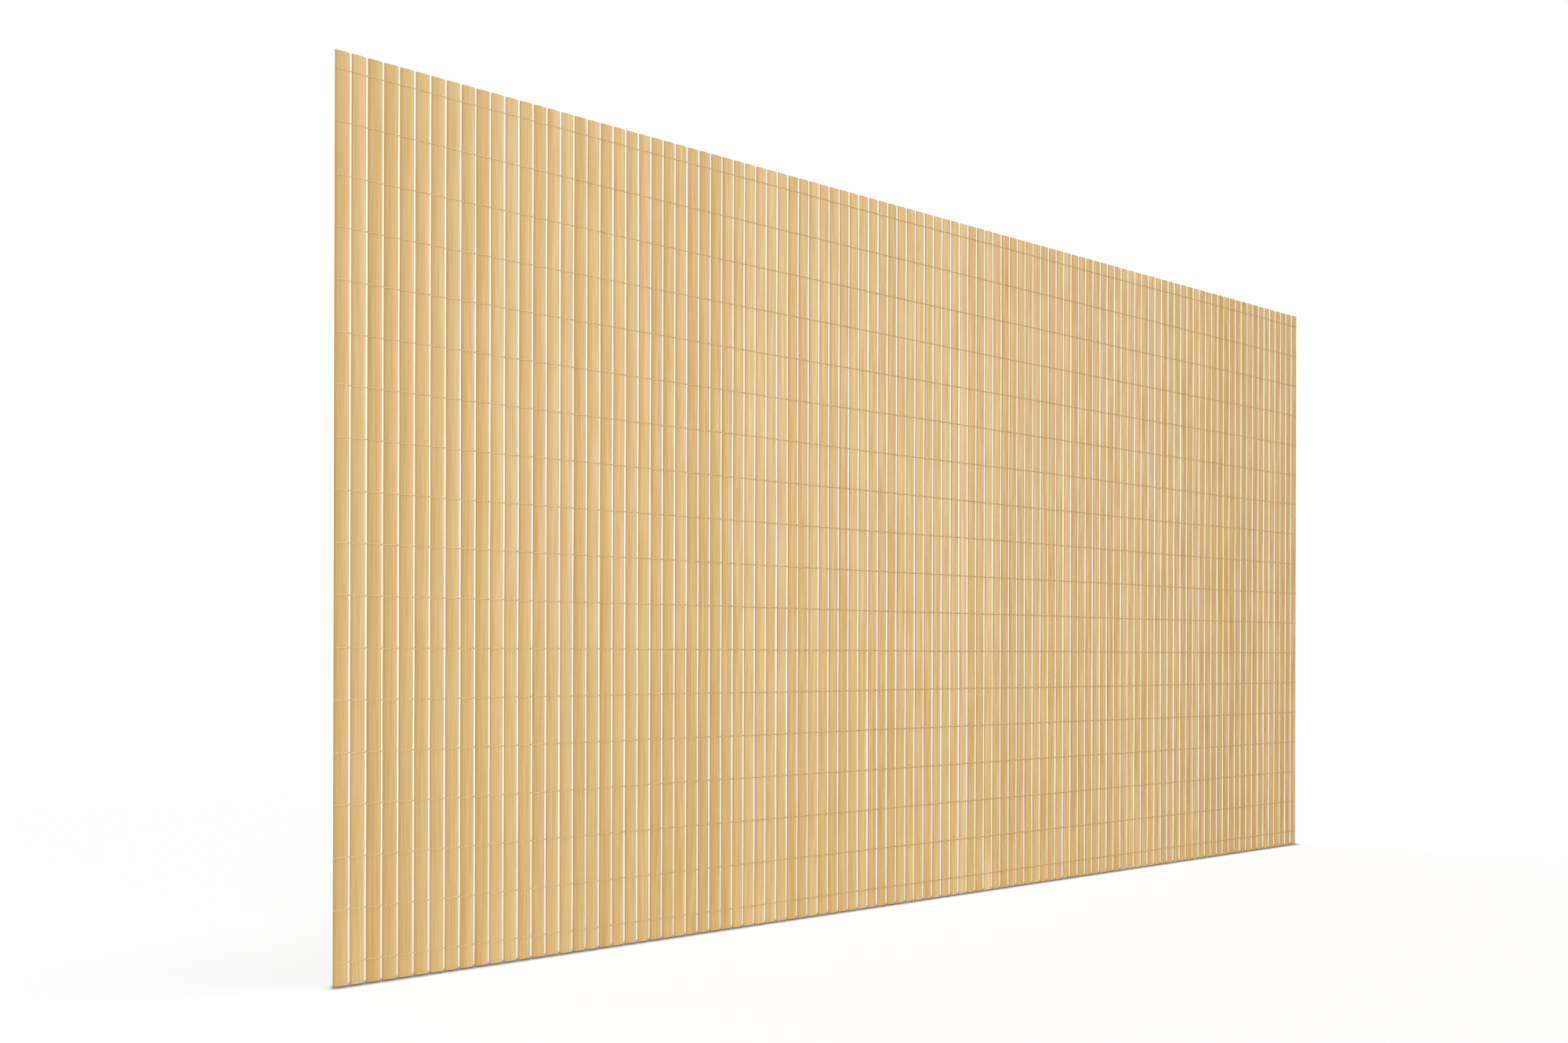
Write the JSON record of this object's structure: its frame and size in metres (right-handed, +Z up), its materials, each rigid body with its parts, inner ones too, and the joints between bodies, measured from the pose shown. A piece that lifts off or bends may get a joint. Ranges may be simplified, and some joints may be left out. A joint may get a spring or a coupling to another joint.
{
  "type": "pvc screening mat",
  "caption": "Upright privacy screening mat of crowned PVC slats set side by side with narrow gaps and bound by rows of twisted thread, tied to a fence or railing.",
  "frame": {"origin": "middle of the mat's lower edge, halfway through its thickness", "axes": "+X along the width, to the right seen from the front; -Y out of the crowned front and +Y towards the fence; +Z up along the slats"},
  "size_m": [2.999, 0.0058, 1.8],
  "materials": {
    "slat_pvc": "satin extruded PVC in a light bamboo tan with fine lengthwise grain",
    "binding_thread": "twisted polyester thread, cream tan"
  },
  "bodies": {
    "root": {"slat_wall": "slat_pvc", "binding_thread_01": "binding_thread", "binding_thread_02": "binding_thread", "binding_thread_03": "binding_thread", "binding_thread_04": "binding_thread", "binding_thread_05": "binding_thread", "binding_thread_06": "binding_thread", "binding_thread_07": "binding_thread", "binding_thread_08": "binding_thread", "binding_thread_09": "binding_thread", "binding_thread_10": "binding_thread", "binding_thread_11": "binding_thread", "binding_thread_12": "binding_thread", "binding_thread_13": "binding_thread", "binding_thread_14": "binding_thread", "binding_thread_15": "binding_thread", "binding_thread_16": "binding_thread", "binding_thread_17": "binding_thread", "binding_thread_18": "binding_thread"}
  },
  "joints": []
}
